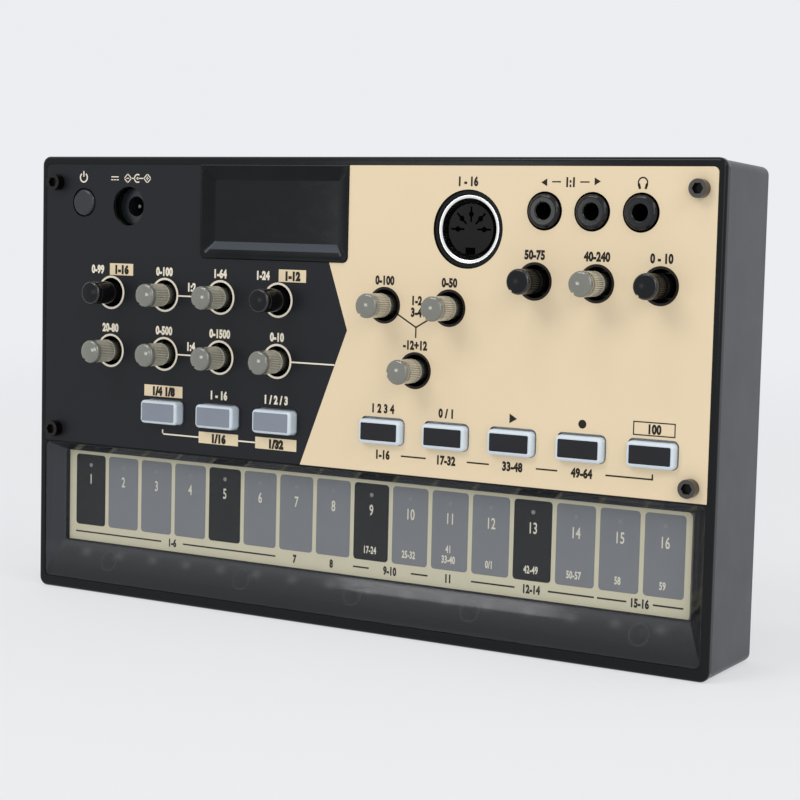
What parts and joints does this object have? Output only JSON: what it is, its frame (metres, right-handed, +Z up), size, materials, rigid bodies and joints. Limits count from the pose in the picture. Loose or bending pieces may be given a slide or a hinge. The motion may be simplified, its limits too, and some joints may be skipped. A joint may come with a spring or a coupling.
{
  "type": "drum machine",
  "caption": "Compact battery-powered drum machine with a touch strip, rotary knobs, push keys, a small display and audio, sync and power sockets.",
  "frame": {"origin": "centre of the whole object's box in X and Y, on the plane that the lower edge stands on", "axes": "+Z up with the case standing on its long lower edge; +X to the right seen from the front; the panel faces -Y and the rubber feet face +Y"},
  "size_m": [0.193, 0.039, 0.115],
  "materials": {
    "frame_black": "glossy black moulding",
    "case_black": "satin black moulding with a fine grain",
    "panel_print": "satin print, black at the left and beige at the right",
    "smoked_clear": "glossy smoked clear plastic",
    "display_lens": "glossy dark lens",
    "display_dark": "dark display glass",
    "strip_print": "cream film with dark key areas",
    "board_green": "circuit board",
    "lamp_red": "tinted lamp",
    "flat_cable": "flat cable",
    "moulded_black": "matt black moulding",
    "silicone": "silicone rubber",
    "knob_clear": "smoky clear knob",
    "knob_black": "black knob",
    "key_grey": "pale rubber key with a grey face",
    "key_black": "pale rubber key with a black face",
    "socket_metal": "bright plated shell",
    "screw_black": "blackened steel",
    "screw_steel": "zinc plated steel",
    "foot_rubber": "black rubber",
    "cell_jacket": "plain cell jacket",
    "contact_metal": "nickel plated spring steel",
    "speaker_steel": "pressed steel basket",
    "speaker_paper": "paper cone",
    "magnet_ferrite": "ferrite"
  },
  "bodies": {
    "case": {"front_frame": "frame_black", "front_panel": "panel_print", "rear_case": "case_black", "step_tray": "smoked_clear", "step_print_sheet": "strip_print", "touch_board": "board_green", "step_lamps": "lamp_red", "main_board": "board_green", "board_link": "flat_cable", "display_bezel": "frame_black", "display_window": "display_lens", "display_module": "display_dark", "display_holder": "moulded_black", "pot_bodies": "moulded_black", "encoder_bodies": "moulded_black", "key_mats": "silicone", "power_switch": "moulded_black", "dc_jack": "moulded_black", "dc_pin": "socket_metal", "din_housing": "moulded_black", "din_shield": "socket_metal", "din_insert": "moulded_black", "panel_screws": "screw_black", "case_screws": "screw_steel", "board_screws": "screw_steel", "rubber_feet": "foot_rubber", "aa_cells": "cell_jacket", "battery_contacts": "contact_metal", "speaker_basket": "speaker_steel", "speaker_cone": "speaker_paper", "speaker_magnet": "magnet_ferrite", "jack_sync_in": "moulded_black", "jack_sync_out": "moulded_black", "jack_headphones": "moulded_black"},
    "knob_level": {"knob_level": "knob_black"},
    "knob_select": {"knob_select": "knob_black"},
    "knob_amount": {"knob_amount": "knob_clear"},
    "knob_rate": {"knob_rate": "knob_clear"},
    "knob_pitch": {"knob_pitch": "knob_clear"},
    "knob_attack": {"knob_attack": "knob_clear"},
    "knob_release": {"knob_release": "knob_clear"},
    "knob_send": {"knob_send": "knob_clear"},
    "knob_decay": {"knob_decay": "knob_clear"},
    "knob_body": {"knob_body": "knob_clear"},
    "knob_tune": {"knob_tune": "knob_clear"},
    "knob_swing": {"knob_swing": "knob_black"},
    "knob_tempo": {"knob_tempo": "knob_clear"},
    "knob_volume": {"knob_volume": "knob_black"},
    "key_left_1": {"key_left_1": "key_grey"},
    "key_left_2": {"key_left_2": "key_grey"},
    "key_left_3": {"key_left_3": "key_grey"},
    "key_right_1": {"key_right_1": "key_black"},
    "key_right_2": {"key_right_2": "key_black"},
    "key_right_3": {"key_right_3": "key_black"},
    "key_right_4": {"key_right_4": "key_black"},
    "key_right_5": {"key_right_5": "key_black"},
    "power_button": {"power_button": "moulded_black"},
    "battery_cover": {"battery_cover": "case_black"}
  },
  "joints": [
    {"name": "turn_level", "type": "hinge", "parent": "case", "child": "knob_level", "pos_m": [-0.0725, -0.0195, 0.0798], "axis": [0, 1, 0], "continuous": true},
    {"name": "turn_select", "type": "hinge", "parent": "case", "child": "knob_select", "pos_m": [-0.01972, -0.0195, 0.0798], "axis": [0, 1, 0], "continuous": true},
    {"name": "turn_amount", "type": "hinge", "parent": "case", "child": "knob_amount", "pos_m": [-0.05491, -0.0195, 0.0798], "axis": [0, 1, 0], "range_deg": [0, 280]},
    {"name": "turn_rate", "type": "hinge", "parent": "case", "child": "knob_rate", "pos_m": [-0.03731, -0.0195, 0.0798], "axis": [0, 1, 0], "range_deg": [0, 280]},
    {"name": "turn_pitch", "type": "hinge", "parent": "case", "child": "knob_pitch", "pos_m": [-0.0725, -0.0195, 0.06465], "axis": [0, 1, 0], "range_deg": [0, 280]},
    {"name": "turn_attack", "type": "hinge", "parent": "case", "child": "knob_attack", "pos_m": [-0.05491, -0.0195, 0.06465], "axis": [0, 1, 0], "range_deg": [0, 280]},
    {"name": "turn_release", "type": "hinge", "parent": "case", "child": "knob_release", "pos_m": [-0.03731, -0.0195, 0.06465], "axis": [0, 1, 0], "range_deg": [0, 280]},
    {"name": "turn_send", "type": "hinge", "parent": "case", "child": "knob_send", "pos_m": [-0.01972, -0.0195, 0.06465], "axis": [0, 1, 0], "range_deg": [0, 280]},
    {"name": "turn_decay", "type": "hinge", "parent": "case", "child": "knob_decay", "pos_m": [0.0111, -0.0195, 0.0798], "axis": [0, 1, 0], "range_deg": [0, 280]},
    {"name": "turn_body", "type": "hinge", "parent": "case", "child": "knob_body", "pos_m": [0.02885, -0.0195, 0.0798], "axis": [0, 1, 0], "range_deg": [0, 280]},
    {"name": "turn_tune", "type": "hinge", "parent": "case", "child": "knob_tune", "pos_m": [0.01997, -0.0195, 0.06465], "axis": [0, 1, 0], "range_deg": [-40, 240]},
    {"name": "turn_swing", "type": "hinge", "parent": "case", "child": "knob_swing", "pos_m": [0.05101, -0.0195, 0.0868], "axis": [0, 1, 0], "range_deg": [0, 280]},
    {"name": "turn_tempo", "type": "hinge", "parent": "case", "child": "knob_tempo", "pos_m": [0.06651, -0.0195, 0.0868], "axis": [0, 1, 0], "range_deg": [0, 280]},
    {"name": "turn_volume", "type": "hinge", "parent": "case", "child": "knob_volume", "pos_m": [0.082, -0.0195, 0.0868], "axis": [0, 1, 0], "range_deg": [0, 280]},
    {"name": "press_left_1", "type": "slide", "parent": "case", "child": "key_left_1", "axis": [0, 1, 0], "range_m": [0, 0.0008], "stiffness_N_per_m": 1500},
    {"name": "press_left_2", "type": "slide", "parent": "case", "child": "key_left_2", "axis": [0, 1, 0], "range_m": [0, 0.0008], "stiffness_N_per_m": 1500},
    {"name": "press_left_3", "type": "slide", "parent": "case", "child": "key_left_3", "axis": [0, 1, 0], "range_m": [0, 0.0008], "stiffness_N_per_m": 1500},
    {"name": "press_right_1", "type": "slide", "parent": "case", "child": "key_right_1", "axis": [0, 1, 0], "range_m": [0, 0.0008], "stiffness_N_per_m": 1500},
    {"name": "press_right_2", "type": "slide", "parent": "case", "child": "key_right_2", "axis": [0, 1, 0], "range_m": [0, 0.0008], "stiffness_N_per_m": 1500},
    {"name": "press_right_3", "type": "slide", "parent": "case", "child": "key_right_3", "axis": [0, 1, 0], "range_m": [0, 0.0008], "stiffness_N_per_m": 1500},
    {"name": "press_right_4", "type": "slide", "parent": "case", "child": "key_right_4", "axis": [0, 1, 0], "range_m": [0, 0.0008], "stiffness_N_per_m": 1500},
    {"name": "press_right_5", "type": "slide", "parent": "case", "child": "key_right_5", "axis": [0, 1, 0], "range_m": [0, 0.0008], "stiffness_N_per_m": 1500},
    {"name": "press_power", "type": "slide", "parent": "case", "child": "power_button", "axis": [0, 1, 0], "range_m": [0, 0.001], "stiffness_N_per_m": 1200},
    {"name": "open_battery_cover", "type": "hinge", "parent": "case", "child": "battery_cover", "pos_m": [0, 0.01715, 0.08395], "axis": [1, 0, 0], "range_deg": [0, 75]}
  ]
}
